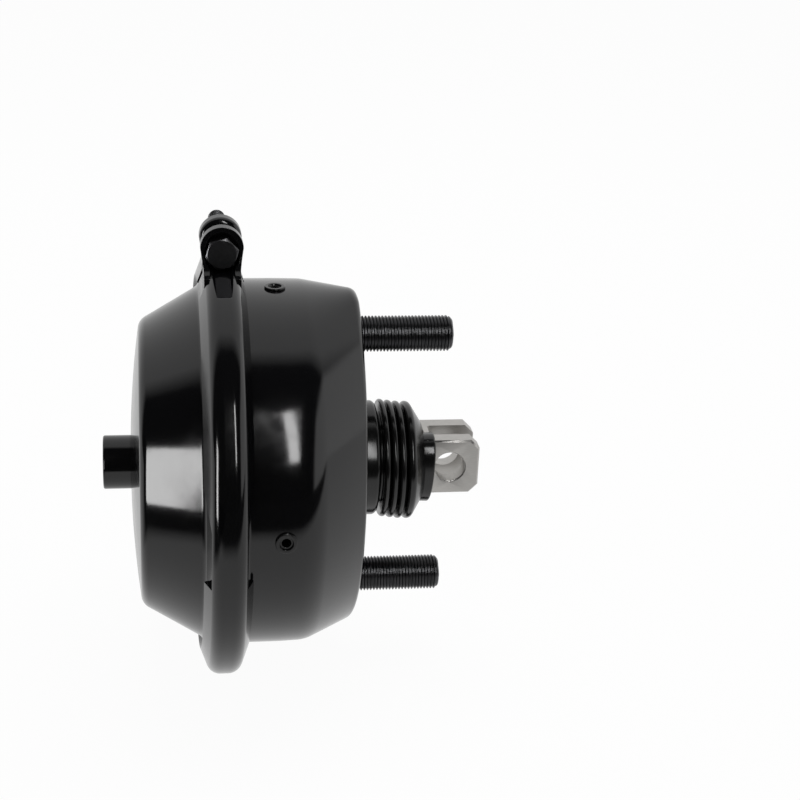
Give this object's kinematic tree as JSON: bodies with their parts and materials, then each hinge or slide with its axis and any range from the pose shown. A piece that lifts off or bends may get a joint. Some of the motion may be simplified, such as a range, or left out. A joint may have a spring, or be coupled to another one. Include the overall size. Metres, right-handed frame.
{
  "type": "brake chamber",
  "caption": "Black single-diaphragm air brake chamber with a V-band clamp, two mounting studs, a rubber bellows and a welded clevis on its push rod",
  "frame": {"origin": "centre of the mounting face, on the push rod's axis, midway between the two mounting studs", "axes": "+X out of the mounting face along the push rod, +Z from the lower mounting stud to the upper one and on to the clamp bolt, +Y across the chamber along the clamp bolt, from its head to its nut"},
  "size_m": [0.1686, 0.1906, 0.2076],
  "materials": {
    "housing_paint": "glossy",
    "plain_steel": "satin",
    "zinc_plating": "satin",
    "machined_steel": "satin",
    "spring_steel": "satin",
    "bolt_steel": "satin",
    "bellows_rubber": "matte",
    "diaphragm_rubber": "matte",
    "vent_plastic": "matte"
  },
  "bodies": {
    "chamber": {"pressure_housing": "housing_paint", "inlet_boss": "housing_paint", "non_pressure_housing": "housing_paint", "diaphragm": "diaphragm_rubber", "return_spring": "spring_steel", "spring_seat": "plain_steel", "stud_plate": "plain_steel", "mounting_stud_upper": "zinc_plating", "mounting_stud_lower": "zinc_plating", "bellows": "bellows_rubber", "clamp_ring": "housing_paint", "clamp_bolt": "bolt_steel", "clamp_nut": "bolt_steel", "breather_plug_1": "vent_plastic", "breather_plug_2": "vent_plastic", "breather_plug_3": "vent_plastic", "breather_plug_4": "vent_plastic"},
    "plate": {"push_plate": "plain_steel"},
    "rod": {"push_rod": "plain_steel", "rod_foot": "plain_steel", "clevis": "machined_steel"}
  },
  "joints": [
    {"name": "rod_stroke", "type": "slide", "parent": "chamber", "child": "plate", "axis": [1, 0, 0], "range_m": [0, 0.057], "stiffness_N_per_m": 2200, "springref_m": -0.07, "deforming": ["diaphragm", "return_spring", "bellows"]},
    {"name": "rod_turn", "type": "hinge", "parent": "plate", "child": "rod", "pos_m": [-0.08, 0, 0], "axis": [1, 0, 0], "continuous": true}
  ]
}
